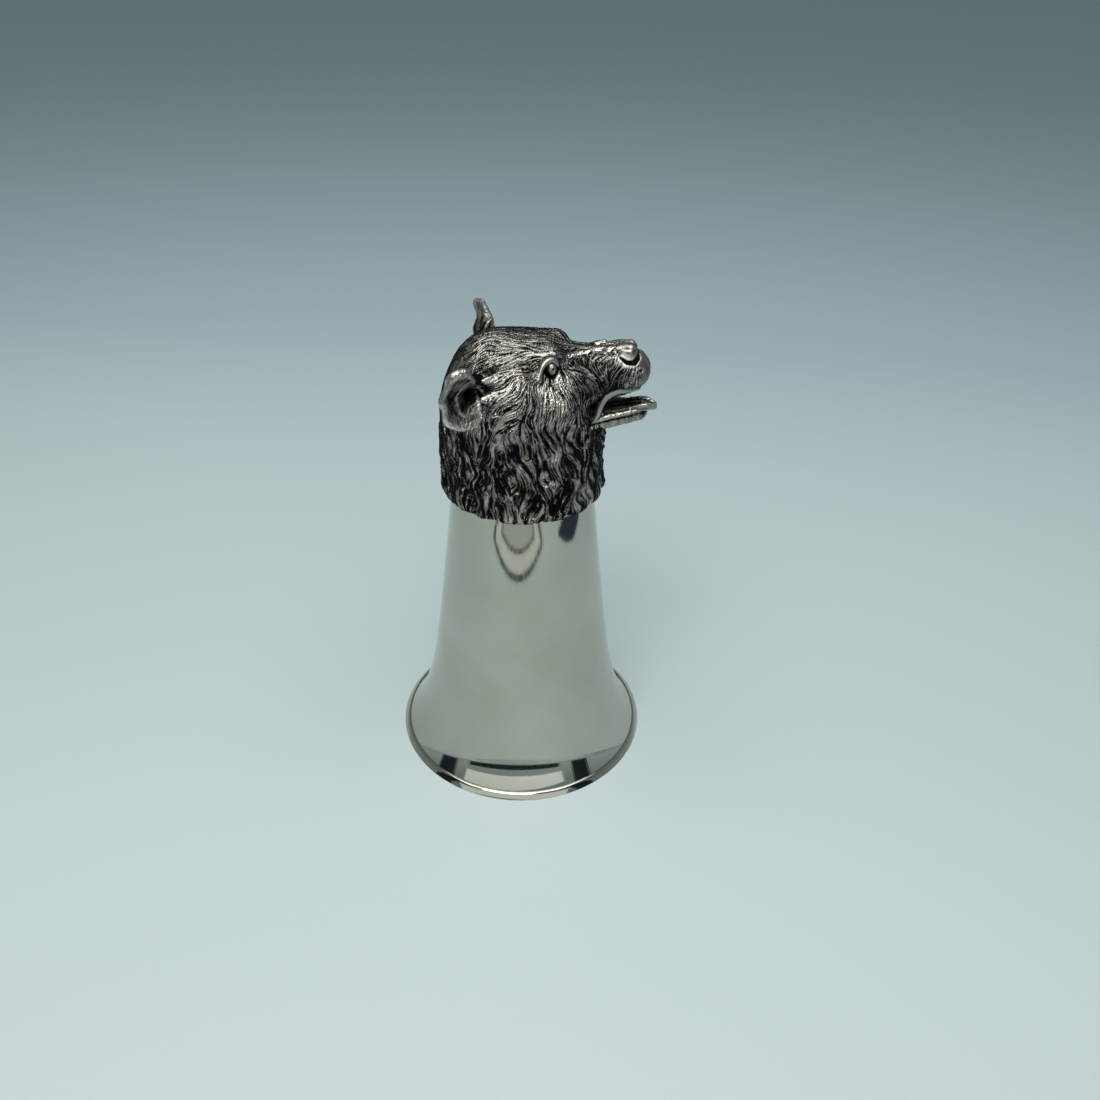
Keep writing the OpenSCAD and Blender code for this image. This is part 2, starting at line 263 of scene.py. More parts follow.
def solder_metal():
    """Dull grey solder with a grainy, flowed surface."""
    material, tree, shader, place = new_metal("solder")
    tone = ramp(tree, noise(tree, place, 500.0), [(0.3, (0.28, 0.28, 0.29)), (0.7, (0.42, 0.42, 0.43))])
    tree.links.new(tone, shader.inputs["Base Color"])
    shader.inputs["Roughness"].default_value = 0.45
    add_bump(tree, shader, noise(tree, place, 900.0), 0.4, 0.0002)
    return material


PEWTER = polished_pewter()
CAST = antiqued_pewter()
SOLDER = solder_metal()


def finish_piece(thing, material, slot, *nodes):
    """Dresses a finished piece, hangs it on the body and hides the CAD nodes that it stands for."""
    thing.data.materials.clear()
    thing.data.materials.append(material)
    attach(thing, BODY)
    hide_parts(*nodes)


# Cup: spun sheets whose radius follows one rule, with a bead of wire round the mouth. Sizes are in metres.

CUP_TAPER = 0.113
ROW_CROWDING = 1.6
END_ROWS = 9
BEAD_ROWS = 20
EDGE_ROWS = 3
WELD = 0.000002
LINES_ROUND = (60.0, 60.0, 0.0)
LINES_UP = (0.0, 0.0, 20.0)
CUP_INPUTS = {
    "Height": ("Float", None),
    "Rim radius": ("Float", None),
    "Waist radius": ("Float", 0.018),
    "Waist height": ("Float", None),
    "Taper": ("Float", CUP_TAPER),
    "Flare height": ("Float", 0.010),
    "Wall": ("Float", 0.0012),
    "Floor": ("Float", 0.0016),
    "Wire width": ("Float", 0.0006),
    "Wire height": ("Float", 0.0015),
    "Steps round": ("Int", 192),
    "Steps up": ("Int", 96),
    "Material": ("Material", None),
}


def cup_rule(tree, given, height):
    """Radius of the cup's outside at a height: a straight taper, and a flare that dies away from the rim."""
    below_waist = sums(tree, "SUBTRACT", given["Waist height"], height)
    straight = sums(tree, "MULTIPLY_ADD", given["Taper"], below_waist, given["Waist radius"])
    foot = sums(tree, "MULTIPLY_ADD", given["Taper"], given["Waist height"], given["Waist radius"])
    flare = sums(tree, "SUBTRACT", given["Rim radius"], foot)
    drop = sums(tree, "DIVIDE", sums(tree, "MULTIPLY", height, -1.0), given["Flare height"])
    return sums(tree, "MULTIPLY_ADD", flare, sums(tree, "EXPONENT", drop), straight)


def spun_sheet(tree, given, radius, height, inward=False, rows=None):
    """One sheet turned about the axis. Radius and height are rules of the row's share, from 0 to 1."""
    columns = sums(tree, "ADD", given["Steps round"], 1.0)
    sizes = {"Size X": 1.0, "Size Y": 1.0, "Vertices X": columns, "Vertices Y": rows or given["Steps up"]}
    grid = node(tree, "GeometryNodeMeshGrid", sizes)
    place = node(tree, "ShaderNodeSeparateXYZ", {0: node(tree, "GeometryNodeInputPosition").outputs[0]})
    turn = sums(tree, "MULTIPLY", sums(tree, "ADD", place.outputs["X"], 0.5), 2 * math.pi)
    share = sums(tree, "ADD", place.outputs["Y"], 0.5)
    high = height(share)
    wide = radius(share, high)
    x = sums(tree, "MULTIPLY", wide, sums(tree, "COSINE", turn))
    y = sums(tree, "MULTIPLY", wide, sums(tree, "SINE", turn))
    spot = node(tree, "ShaderNodeCombineXYZ", {"X": x, "Y": y, "Z": high}).outputs[0]
    moved = node(tree, "GeometryNodeSetPosition", {"Geometry": grid.outputs["Mesh"], "Position": spot})
    if inward:
        moved = node(tree, "GeometryNodeFlipFaces", {"Mesh": moved.outputs[0]})
    return moved.outputs[0]


def joined_sheets(tree, sheets, material):
    """Sheets welded into one closed skin, with a place round the axis for the brush lines."""
    join = node(tree, "GeometryNodeJoinGeometry")
    for sheet in sheets:
        tree.links.new(sheet, join.inputs[0])
    weld = node(tree, "GeometryNodeMergeByDistance", {"Geometry": join.outputs[0], "Distance": WELD})
    place = node(tree, "GeometryNodeInputPosition").outputs[0]
    flat = vector_sums(tree, "NORMALIZE", vector_sums(tree, "MULTIPLY", place, (1.0, 1.0, 0.0)))
    around = vector_sums(tree, "MULTIPLY", flat, LINES_ROUND)
    lines = vector_sums(tree, "ADD", around, vector_sums(tree, "MULTIPLY", place, LINES_UP))
    values = {"Geometry": weld.outputs[0], "Name": "spin_place", "Value": lines}
    kept = node(tree, "GeometryNodeStoreNamedAttribute", values, data_type="FLOAT_VECTOR", domain="POINT")
    end_tree(tree, kept.outputs[0], material)


def cup_tree():
    """The cup: outer wall, closed end, inner end, inner wall and the edge of the mouth."""
    tree, given = new_tree("spun_cup", CUP_INPUTS)
    inner_top = sums(tree, "SUBTRACT", given["Height"], given["Floor"])

    def up_to(top):
        return lambda share: sums(tree, "MULTIPLY", top, sums(tree, "POWER", share, ROW_CROWDING))

    def outer_r(share, high):
        return cup_rule(tree, given, high)

    def inner_r(share, high):
        return sums(tree, "SUBTRACT", cup_rule(tree, given, high), given["Wall"])

    def closing(radius):
        def closing_r(share, high):
            return sums(tree, "MULTIPLY", radius(share, high), sums(tree, "SUBTRACT", 1.0, share))

        return closing_r

    def edge_r(share, high):
        return sums(tree, "SUBTRACT", given["Rim radius"], sums(tree, "MULTIPLY", given["Wall"], share))

    outer = spun_sheet(tree, given, outer_r, up_to(given["Height"]))
    inner = spun_sheet(tree, given, inner_r, up_to(inner_top), inward=True)
    end = spun_sheet(tree, given, closing(outer_r), lambda share: given["Height"], rows=END_ROWS)
    inner_end = spun_sheet(tree, given, closing(inner_r), lambda share: inner_top, inward=True, rows=END_ROWS)
    edge = spun_sheet(tree, given, edge_r, lambda share: sums(tree, "MULTIPLY", share, 0.0), inward=True,
                      rows=EDGE_ROWS)
    joined_sheets(tree, [outer, inner, end, inner_end, edge], given["Material"])
    return tree


def wire_tree():
    """The bead of wire outside the mouth, widest at the floor and closing on the cup at its top."""
    tree, given = new_tree("rolled_wire", CUP_INPUTS)

    def up(share):
        return sums(tree, "MULTIPLY", given["Wire height"], share)

    def cup_r(share, high):
        return cup_rule(tree, given, high)

    def outer_r(share, high):
        full = sums(tree, "SQRT", sums(tree, "SUBTRACT", 1.0, sums(tree, "POWER", share, 3.0)))
        return sums(tree, "MULTIPLY_ADD", given["Wire width"], full, cup_rule(tree, given, high))

    def under_r(share, high):
        left = sums(tree, "SUBTRACT", 1.0, share)
        return sums(tree, "MULTIPLY_ADD", given["Wire width"], left, given["Rim radius"])

    outer = spun_sheet(tree, given, outer_r, up, rows=BEAD_ROWS)
    inner = spun_sheet(tree, given, cup_r, up, inward=True, rows=BEAD_ROWS)
    under = spun_sheet(tree, given, under_r, lambda share: sums(tree, "MULTIPLY", share, 0.0), inward=True,
                       rows=EDGE_ROWS)
    joined_sheets(tree, [outer, inner, under], given["Material"])
    return tree


CUP_SIZES = {"Height": CUP_H * MM, "Rim radius": BARE_RIM_R * MM, "Waist height": HEM_Z * MM,
             "Wire width": (RIM_R - BARE_RIM_R) * MM, "Wire height": WIRE_H * MM, "Material": PEWTER}
cup = grow(mesh_object("cup_body", [(0, 0, 0)]), cup_tree(), CUP_SIZES)
finish_piece(cup, PEWTER, "polished_pewter", "cup_shell")
wire = grow(mesh_object("rim_bead", [(0, 0, 0)]), wire_tree(), CUP_SIZES)
finish_piece(wire, PEWTER, "polished_pewter", "rim_wire")


# Distance fields, in millimetres from the middle of the mane's lower edge.
# The last axis of points is x, y, z.

def bone(points, start, end, start_r, end_r):
    """Distance from a tapered bone with round ends."""
    start = np.array(start, np.float32)
    run = np.array(end, np.float32) - start
    away = points - start
    t = np.clip(away @ (run / max(run @ run, 1e-9)), 0, 1)
    return np.linalg.norm(away - t[..., None] * run, axis=-1) - (start_r + t * np.float32(end_r - start_r))


def chain(points, *beads):
    """Distance from bones strung through beads of (x, y, z, radius)."""
    links = [bone(points, a[:3], b[:3], a[3], b[3]) for a, b in zip(beads, beads[1:])]
    return np.minimum.reduce(links)


def blend(first, second, k):
    """Smooth least of two distances, rounded over about k."""
    h = np.clip(0.5 + 0.5 * (second - first) / k, 0, 1)
    return second + (first - second) * h - k * h * (1 - h)


def carve(solid, tool, k):
    """A solid with a tool taken out of it, with edges rounded over about k."""
    return -blend(-solid, tool, k)


def fold(points):
    """Points mirrored to the bear's left, because most of the head is the same on both sides."""
    points = np.array(points, np.float32)
    points[..., 1] = np.abs(points[..., 1])
    return points


def unit(vector):
    vector = np.array(vector, np.float32)
    return vector / np.linalg.norm(vector)


def steps(low, high, value):
    """0 at low and beyond, 1 at high and beyond, and smooth between. Low may be the larger of the two."""
    t = np.clip((value - low) / (high - low), 0, 1)
    return t * t * (3 - 2 * t)


# Bones of the head, as start, end, start radius and end radius
ARMATURE = {
    "neck": ((0, 0, 0), (-1.6, 0, 20.4), 20.4, 18.2),
    "crown": ((-6, 0, 28.6), (2.5, 0, 29.2), 10.75, 9.8),
    "brow": ((-3, 7, 31.8), (7, 5.4, 35.9), 4.5, 2.5),
    "cheek": ((-3, 10, 20.8), (8, 7.5, 24.3), 9.3, 6.3),
    "bridge": ((6, 0, 33.4), (23.4, 0, 35.5), 3.1, 2.4),
    "flank": ((8, 4.6, 29.8), (23, 2.9, 32.1), 4.3, 2.9),
    "snout": ((23, 1.3, 32.2), (26, 1.1, 32.5), 3.5, 3.8),
    "nose": ((23.8, 1.2, 36.6), (24.8, 1.2, 36.5), 1.4, 1.5),
    "lip": ((12.5, 6.2, 26.8), (24, 3.2, 29.7), 1.5, 1.3),
    "throat": ((8, 0, 11.8), (13.6, 0, 12.8), 10.8, 6.1),
    "jowl": ((11.5, 4.4, 17.4), (17.6, 4.1, 18.8), 3.4, 1.7),
}
# Fur that sweeps back over the front edge of the bear's right ear
EAR_FUR = (
    ((-1, -11.5, 33), (-6.8, -16.8, 35), 3.2, 0.3),
    ((0, -13.6, 30), (-7, -18.6, 31.2), 3.6, 0.3),
    ((1.5, -14, 26.5), (-4.2, -18, 27.4), 3.4, 0.4),
)
SKIN_BLEND = 1.1
EYE = np.array((7.76, 9.27, 35.33), np.float32)
EYE_OUT = unit((0.42, 0.86, 0.28))


def rounded(beads, turns):
    """Beads with more beads between them, on a smooth curve."""
    beads = np.array(beads, np.float32)
    ends = np.concatenate([beads[:1], beads, beads[-1:]])
    made = []
    for before, start, end, after in zip(ends, ends[1:], ends[2:], ends[3:]):
        for t in np.arange(turns) / turns:
            bend = 2 * before - 5 * start + 4 * end - after + t * (3 * (start - end) + after - before)
            made.append(start + t / 2 * (end - before + t * bend))
    return [*made, beads[-1]]


LID = rounded((
    (4.9, 11.6, 33.3, 0.2), (5.3, 10.4, 35.4, 0.4), (6, 9.2, 36.6, 0.65),
    (7.2, 8.4, 37.2, 0.7), (8.3, 8.2, 36.8, 0.5), (9, 8.4, 35.9, 0.15),
), 3)
LIPS = rounded((
    (27.6, 3.2, 29.2, 0.4), (26.2, 4.3, 29.3, 0.55), (24.1, 5.4, 29.4, 0.65), (22.5, 5.8, 29.2, 0.7),
    (20.3, 6.1, 27.9, 0.75), (19, 6.3, 25.6, 0.7), (18.4, 6.2, 23.2, 0.65), (17.2, 5.9, 20.8, 0.5),
), 2)
# Bones, written as in the armature, and chains of beads with x, y, z and a radius
MOUTH = ((20, 0, 24), (32, 0, 25), 4.2, 5.4)
LIP_FOLD = ((18.6, 7.3, 26.6, 0.35), (17.2, 7.4, 24.2, 0.5), (16.2, 7.3, 22.2, 0.4))
SOCKET = (EYE + 0.5 * EYE_OUT - (0, 0, 0.5), EYE + 3.2 * EYE_OUT, 1.7, 2.5)
BRIDGE_EDGE = (
    (10.2, 4.2, 36.3, 0.3), (13.4, 2.4, 36.4, 0.5), (16.2, 1.9, 36.8, 0.5), (20.2, 1.6, 37.4, 0.55),
    (23, 1.6, 37.9, 0.7),
)
BRIDGE_BUMP = ((16.5, 1.7, 37.1), (18.7, 1.6, 37.5), 0.7, 0.8)
NOSE_PAD = ((22, 0.8, 37.6, 0.7), (24, 1.1, 38, 1.1), (25, 1.4, 38.1, 1.05))
NOSE_WING = ((23.4, 2.3, 37.6, 0.6), (25, 2.4, 37.7, 0.7), (25.2, 2.8, 36.7, 0.55))
NOSTRIL = (
    (22.8, 3.6, 36.5, 0.25), (24.4, 4.1, 35.6, 0.5), (26, 3.9, 35.6, 0.6), (26.9, 2.8, 36.6, 0.55),
    (27, 1.4, 37.4, 0.5), (27, 0, 37.6, 0.5),
)
SNOUT_PIT = ((27.6, 4.3, 34), (27.7, 4.2, 34), 0.4, 0.4)
LIP_GROOVE = ((30, 0, 35.4, 0.3), (30.4, 0, 33, 0.3), (30, 0, 30, 0.35))


def flesh(points):
    """The head's main form."""
    at = fold(points)
    total = 0
    for part in ARMATURE.values():
        total = total + np.exp(np.clip(-bone(at, *part) / SKIN_BLEND, -60, 60))
    for part in EAR_FUR:
        total = total + np.exp(np.clip(-bone(points, *part) / SKIN_BLEND, -60, 60))
    return -SKIN_BLEND * np.log(np.maximum(total, 1e-24))


def skin(points):
    """The head's form with the mouth, the eye sockets and the small forms of the face."""
    field = flesh(points)
    at = fold(points)
    field = carve(field, bone(at, *MOUTH), 0.8)
    field = blend(field, chain(at, *LIPS), 0.5)
    field = carve(field, chain(at, *LIP_FOLD), 0.5)
    field = carve(field, bone(at, *SOCKET), 0.6)
    field = blend(field, chain(at, *LID), 1.0)
    field = blend(field, chain(at, *BRIDGE_EDGE), 1.0)
    field = blend(field, bone(at, *BRIDGE_BUMP), 0.25)
    field = blend(field, chain(at, *NOSE_PAD), 0.5)
    field = blend(field, chain(at, *NOSE_WING), 0.25)
    field = carve(field, chain(at, *NOSTRIL), 0.25)
    field = carve(field, bone(at, *SNOUT_PIT), 0.2)
    return carve(field, chain(at, *LIP_GROOVE), 0.4)


AXES = np.eye(3, dtype=np.float32)


def slope(field, points, step=0.05):
    """Unit vectors straight out of a field at points."""
    out = np.stack([field(points + step * axis) - field(points - step * axis) for axis in AXES], -1)
    return out / (np.linalg.norm(out, axis=-1, keepdims=True) + 1e-9)


def bulge(field, points, step=0.5):
    """How much a surface bends outwards at points: above 0 on a ridge and below 0 in a crease."""
    around = sum(field(points + step * axis) + field(points - step * axis) for axis in AXES)
    return (around - 6 * field(points)) / step ** 2


BLOCK = 8
BLOCK_MARGIN = 0.6
BLOCKS_AT_ONCE = 400


def field_mesh(name, field, low, high, pitch):
    """A closed mesh of the space where a field is below 0. Blocks out of its reach are skipped."""
    low = np.array(low, np.float32)
    blocks = np.ceil((np.array(high) - low) / (pitch * BLOCK)).astype(int)
    values = np.empty((*blocks, BLOCK, BLOCK, BLOCK), np.float32)
    corner = np.stack(np.meshgrid(*[np.arange(n) for n in blocks], indexing="ij"), -1) * BLOCK
    centre = field(low + pitch * (corner + (BLOCK - 1) / 2).astype(np.float32))
    values[:] = np.clip(centre, -1, 1)[..., None, None, None]
    near = np.argwhere(np.abs(centre) < pitch * BLOCK + BLOCK_MARGIN)
    cell = np.stack(np.meshgrid(*[np.arange(BLOCK)] * 3, indexing="ij"), -1)
    for some in np.array_split(near, max(1, len(near) // BLOCKS_AT_ONCE)):
        spots = low + pitch * (some[:, None, None, None] * BLOCK + cell).astype(np.float32)
        values[tuple(some.T)] = np.clip(field(spots), -1, 1)
    volume = openvdb.FloatGrid(1.0)
    volume.copyFromArray(values.transpose(0, 3, 1, 4, 2, 5).reshape(blocks * BLOCK))
    points, _, quads = volume.convertToPolygons(0.0, 0.0)
    return mesh_object(name, low + pitch * points + (0, 0, HEM_Z), quads[:, ::-1])


# Head: the mane's main hollows lie where the CAD model has them, with ends a little more pointed, and the fur
# is chased into the skin

LOCK_COUNT = 16
LOCK_DEPTH = 1.4
LOCK_H = 7.8
LOCK_SWAY = math.radians(50)
LOCK_SIDES = 1.1
LOCK_ENDS = 0.8
ROW_WAVE = 0.2
ROW_START = math.radians(30)
ROW_TURN = math.radians(100)
MANE_H = 23
BORE_R = 17.6
BORE_END = CUP_H - HEM_Z
HEM = np.array((0, 0, HEM_Z), np.float32)


def lock_hollow(points):
    """Depth of the mane between its main locks: eye-shaped hollows in rows, each set off by half a lock."""
    turn = np.arctan2(np.abs(points[..., 1]), points[..., 0])
    height = points[..., 2]
    level = height / LOCK_H + ROW_WAVE * np.sin(4 * turn + ROW_START)
    row = np.floor(level)
    sway = LOCK_SWAY * np.sin(2 * np.pi * height / (1.6 * LOCK_H) + 3 * turn)
    between = (1 - np.cos(LOCK_COUNT * turn + np.pi * (row % 2) + sway)) / 2
    strength = 0.7 + 0.3 * np.sin(7 * turn + ROW_TURN * row)
    fade = np.clip(1 - (np.maximum(height, 0) / MANE_H) ** 4, 0, 1)
    ends = np.sin(np.pi * (level - row)) ** LOCK_ENDS
    return LOCK_DEPTH * fade * strength * between ** LOCK_SIDES * ends


def bore_r(height):
    """Radius of the bore in the head, which narrows as the cup does."""
    return BORE_R - CUP_TAPER * height


def head_solid(points):
    """The head and the mane, with a bore for the closed end of the cup."""
    height = points[..., 2]
    field = carve(skin(points) + lock_hollow(points), height - 0.1, 0.8)
    from_axis = np.hypot(points[..., 0], points[..., 1])
    bore = np.maximum(from_axis - bore_r(height), height - (BORE_END - 0.6))
    return np.maximum(field, -bore)


LATTICE = 64
SHORT = np.float32(0.15)
GRAIN = np.random.default_rng(SEED).random((LATTICE, LATTICE, LATTICE), np.float32)
NOSE = np.array((27, 0, 36), np.float32)
EAR_FRONT = np.array((-4, 17, 30), np.float32)
EAR_SWEEP_R = 6
FUR_TURN_Z = 33
FUR_TURN_SLANT = 0.3
FUR_TURN_H = 9
EYE_PULL = 1.6
EYE_PULL_R = 6.5
SWAY = 2.6
SWAY_SIZE = 3.1
ROUND_SHARE = 0.7
ROUND_EASE = 0.3


def grain(points, size):
    """Random values from 0 to 1 that change smoothly over about a size."""
    cell = points / np.float32(size)
    low = np.floor(cell)
    part = cell - low
    part = part * part * (3 - 2 * part)
    low = low.astype(np.int32)
    ends = [[(low[:, axis] + step) % LATTICE for step in (0, 1)] for axis in range(3)]
    shares = [[1 - part[:, axis], part[:, axis]] for axis in range(3)]
    total = 0
    for x, y, z in np.ndindex(2, 2, 2):
        share = shares[0][x] * shares[1][y] * shares[2][z]
        total = total + share * GRAIN[ends[0][x], ends[1][y], ends[2][z]]
    return total


def sway_angle(points):
    """A random turn of the fur from place to place, so that no two locks lie quite alike."""
    return SWAY * (grain(points, SWAY_SIZE) - 0.5)


def fur_way(points):
    """The way the fur lies: back over the crown, out below the eyes, and down over cheeks and mane."""
    at = fold(points)
    back = points - NOSE
    back = back / (np.linalg.norm(back, axis=-1, keepdims=True) + 1e-6)
    down = np.array((0, 0, -1), np.float32)
    turn = FUR_TURN_Z + FUR_TURN_SLANT * np.clip(at[..., 0], -14, 14)
    by_ear = np.exp(-(np.linalg.norm(at - EAR_FRONT, axis=-1) / EAR_SWEEP_R) ** 2)
    low = steps(0, 1, (turn + 4 - at[..., 2]) / FUR_TURN_H) * (1 - 0.8 * by_ear)
    flank = steps(9, 15, at[..., 0]) * steps(37.2, 35.5, at[..., 2]) * 0.75
    behind = steps(-6, -16, at[..., 0])
    share = np.maximum(np.maximum(low, flank), behind)[..., None]
    way = (1 - share) * back + share * down
    from_eye = at - EYE
    near = np.linalg.norm(from_eye, axis=-1, keepdims=True)
    from_eye = from_eye / (near + 1e-6)
    from_eye[..., 1] *= np.where(points[..., 1] < 0, -1, 1)
    pull = EYE_PULL * np.exp(-(near / EYE_PULL_R) ** 2) * steps(36.5, 33.5, at[..., 2])[..., None]
    return way + pull * from_eye


def lie(points, outs, wild):
    """The way the fur lies along a surface: round the hollows of the mane, and swayed at random."""
    way = fur_way(points)
    way = way - np.sum(way * outs, -1, keepdims=True) * outs
    way = way / (np.linalg.norm(way, axis=-1, keepdims=True) + 1e-6)
    side = np.cross(outs, way)
    here = lock_hollow(points)
    along = (lock_hollow(points + SHORT * way) - here) / SHORT
    across = (lock_hollow(points + SHORT * side) - here) / SHORT
    angle = np.arctan2(-ROUND_SHARE * along * np.sign(across), ROUND_EASE + np.abs(across))
    angle = angle + wild * sway_angle(points)
    return way * np.cos(angle)[..., None] + side * np.sin(angle)[..., None]


def combed(points, outs, some, size, reach, count, wild):
    """Random strands at some of the points, as a spread about 0: grain averaged along the lie of the fur."""
    start, outs = points[some], outs[some]
    total = grain(start, size)
    for sign in (1, -1):
        spot = start
        for turn in range(count):
            spot = spot + np.float32(sign * reach / count) * lie(spot, outs, wild)
            total = total + grain(spot, size)
    spread = np.zeros(len(points), np.float32)
    spread[some] = (total - total.mean()) / total.std()
    return spread


def strands(spread, fuller=0.25, steep=1.4):
    """Strands with dark grooves between, from 0 to 1. Fuller strands are wider than their grooves."""
    return 0.5 + 0.5 * np.tanh(steep * (spread + fuller))


RELIEF_INPUTS = {
    "Share": ("Float", 1.0),
    "Material": ("Material", None),
}


def relief_tree():
    """Moves each point along its normal by its relief."""
    tree, given = new_tree("chased_relief", RELIEF_INPUTS)
    depth = sums(tree, "MULTIPLY", value_of(tree, "relief"), given["Share"])
    offset = scaled(tree, node(tree, "GeometryNodeInputNormal").outputs[0], depth)
    moved = node(tree, "GeometryNodeSetPosition", {"Geometry": given["Geometry"], "Offset": offset})
    end_tree(tree, moved.outputs[0], given["Material"])
    return tree


RELIEF = relief_tree()
# Strokes of the chasing tool: width, half length, steps along it, and how much it strays
CAST_STROKE = (0.2, 1.4, 5, 0.7)
FACE_STROKE = (0.15, 1.1, 5, 0.6)
CHEEK_STROKE = (0.21, 1.6, 6, 0.7)
WISP_STROKE = (0.31, 3.6, 10, 0.55)
GAP_STROKE = (0.7, 3.0, 7, 0.7)
FACE_DEPTH = 0.34
CHEEK_DEPTH = 0.42
CROWN_LESS = 0.08
MANE_DEPTH = 0.95
# A painted highlight: a round place on the cheek below the eye is toned brighter.
PAINTED_CHEEK_HIGHLIGHT = np.array((10, 11, 31))
PAINTED_CHEEK_HIGHLIGHT_R = 4.5


def cast_piece(name, field, low, high, pitch, wear_and_light_rule, stroke, *nodes):
    """A piece cut out of a field, chased with strokes of a depth, and rubbed by the bends of its surface; its
    rule also paints a highlight low on each ear and on the tongue's tip, and shade inside the mouth.
    """
    thing = field_mesh(name, field, low, high, pitch)
    spots = point_values(thing) - HEM
    everywhere = np.full(len(spots), True)
    chased = strands(combed(spots, slope(field, spots), everywhere, *CAST_STROKE))
    store(thing, "relief", -stroke * (1 - chased) * MM)
    wear_and_painted_light = wear_and_light_rule(spots, bulge(field, spots)) + 1.6 * stroke * (chased - 0.6)
    store(thing, "wear_and_painted_light", np.clip(wear_and_painted_light, 0, 1))
    grow(thing, RELIEF, {"Material": CAST})
    finish_piece(thing, CAST, "antiqued_pewter", *nodes)


def fur_share(spots):
    """1 on fur, less on the snout's tip, and 0 on the nose, the lips, the lids, the eyes and in the mouth."""
    at = fold(spots)
    eye = steps(1.8, 2.5, np.linalg.norm(at - EYE, axis=-1))
    lid = np.maximum(steps(0.0, 0.7, chain(at, *LID)), steps(-0.9, -1.5, (at - EYE) @ EYE_OUT))
    lips = steps(0.0, 0.6, chain(at, *LIPS))
    nose = 1 - steps(21.5, 24, at[:, 0]) * steps(34, 35.5, at[:, 2])
    mouth = np.maximum(steps(-1.2, -0.5, flesh(spots)), steps(15, 13, at[:, 0]))
    front = 1 - 0.75 * steps(26.5, 28.5, at[:, 0])
    return eye * lid * lips * nose * mouth * front


def chase(thing):
    """Sinks the fur into the head's skin and keeps how bright each point is: rubbed and blackened along the
    fur and the bends, with a painted highlight below the eye and painted shade on the muzzle's flank, round
    the eye and in the eye sockets.
    """
    spots = point_values(thing) - HEM
    outs = slope(flesh, spots)
    at = fold(spots)
    ahead, high = at[:, 0], at[:, 2]
    hidden = (np.hypot(ahead, at[:, 1]) < bore_r(high) + 0.2) & (high < BORE_END)
    in_mane = steps(25.5, 18, high)
    on_face = steps(1, 8, ahead) * (1 - in_mane) * steps(23, 28, high)
    on_cheek = 1 - in_mane - on_face
    on_crown = steps(28, 35, high) * on_cheek
    furred = fur_share(spots) * ~hidden
    mane_only = (in_mane > 0) & ~hidden
    fine = strands(combed(spots, outs, (on_face + on_crown > 0) & ~hidden, *FACE_STROKE))
    middle = strands(combed(spots, outs, ~hidden, *CHEEK_STROKE))
    wisps = strands(combed(spots, outs, mane_only, *WISP_STROKE), -0.05, 1.0)
    gaps = steps(-0.7, -1.4, combed(spots, outs, mane_only, *GAP_STROKE))
    mane_h = (0.8 * wisps + 0.2 * middle) * (1 - 0.75 * gaps)
    height = (on_face + on_crown) * fine + (on_cheek - on_crown) * middle + in_mane * mane_h
    depth = FACE_DEPTH * on_face + CHEEK_DEPTH * on_cheek - CROWN_LESS * on_crown
    depth = depth + MANE_DEPTH * in_mane * (0.5 + 0.5 * steps(0, 2, high))
    store(thing, "relief", -furred * depth * (1 - height) * MM)
    ridge = bulge(skin, spots)
    # Painted highlight below the eye, brighter on the strands' tops.
    cheek_highlight = np.exp(-(np.linalg.norm(at - PAINTED_CHEEK_HIGHLIGHT, axis=-1) / PAINTED_CHEEK_HIGHLIGHT_R) ** 2)
    # Painted shade: the flank of the muzzle, between the bridge and the cheek, is toned darker.
    flank = steps(10, 13, ahead) * steps(36.3, 34.8, high) * steps(26, 23, ahead) * steps(26, 29, high)
    crisp = steps(0.15, 0.85, height)
    from_eye = np.linalg.norm(at - EYE, axis=-1)
    shade = 0.25 * np.exp(-((from_eye - 2.2) / 0.9) ** 2)
    tone = 0.07 + 0.6 * crisp + 0.5 * cheek_highlight * crisp - 0.3 * flank - shade
    tone = tone + in_mane * (0.02 - 0.1 * lock_hollow(spots) - 0.08 * crisp + 0.16 * wisps * wisps)
    # Painted shade in the eye socket: the bare skin round the eye is toned darker off its ridges.
    socket = np.exp(-(from_eye / 2.1) ** 4)
    bare = 0.4 - 0.4 * socket * (ridge < 0.4) + 0.28 * np.clip(ridge, -0.8, 0.9)
    wear_and_painted_light = furred * (tone + 0.12 * np.clip(ridge, -1, 1.5)) + (1 - furred) * bare
    store(thing, "wear_and_painted_light", np.clip(wear_and_painted_light, 0, 1))
    return grow(thing, RELIEF, {"Material": CAST})


def part_by_height(thing, names, *nodes):
    """Parts a mesh of quads into pieces, lowest faces first, with even light across the seams."""
    mesh = thing.data
    quads = np.empty(len(mesh.loops), np.int32)
    mesh.loops.foreach_get("vertex_index", quads)
    quads = quads.reshape(-1, 4)
    points = point_values(thing)
    normals = np.empty(len(points) * 3, np.float32)
    mesh.vertex_normals.foreach_get("vector", normals)
    normals = normals.reshape(-1, 3)
    wear_and_painted_light = np.empty(len(points), np.float32)
    mesh.attributes["wear_and_painted_light"].data.foreach_get("value", wear_and_painted_light)
    order = np.argsort(points[quads, 2].mean(1), kind="stable")
    for name, some in zip(names, np.array_split(order, len(names))):
        used, faces = np.unique(quads[some], return_inverse=True)
        piece = mesh_object(name, points[used], faces.reshape(-1, 4))
        piece.data.normals_split_custom_set_from_vertices(normals[used].tolist())
        store(piece, "wear_and_painted_light", wear_and_painted_light[used])
        finish_piece(piece, CAST, "antiqued_pewter", *nodes)
    bpy.data.objects.remove(thing)


head = chase(field_mesh("head", head_solid, (-23, -23, -0.6), (32, 23, 41), PITCH))
part_by_height(head, ("mane_hem", "mane_low", "mane_high", "face", "brow", "crown"), "head_casting")

# Ears: bowls with a thick rolled rim, on a root that grows out of the skull

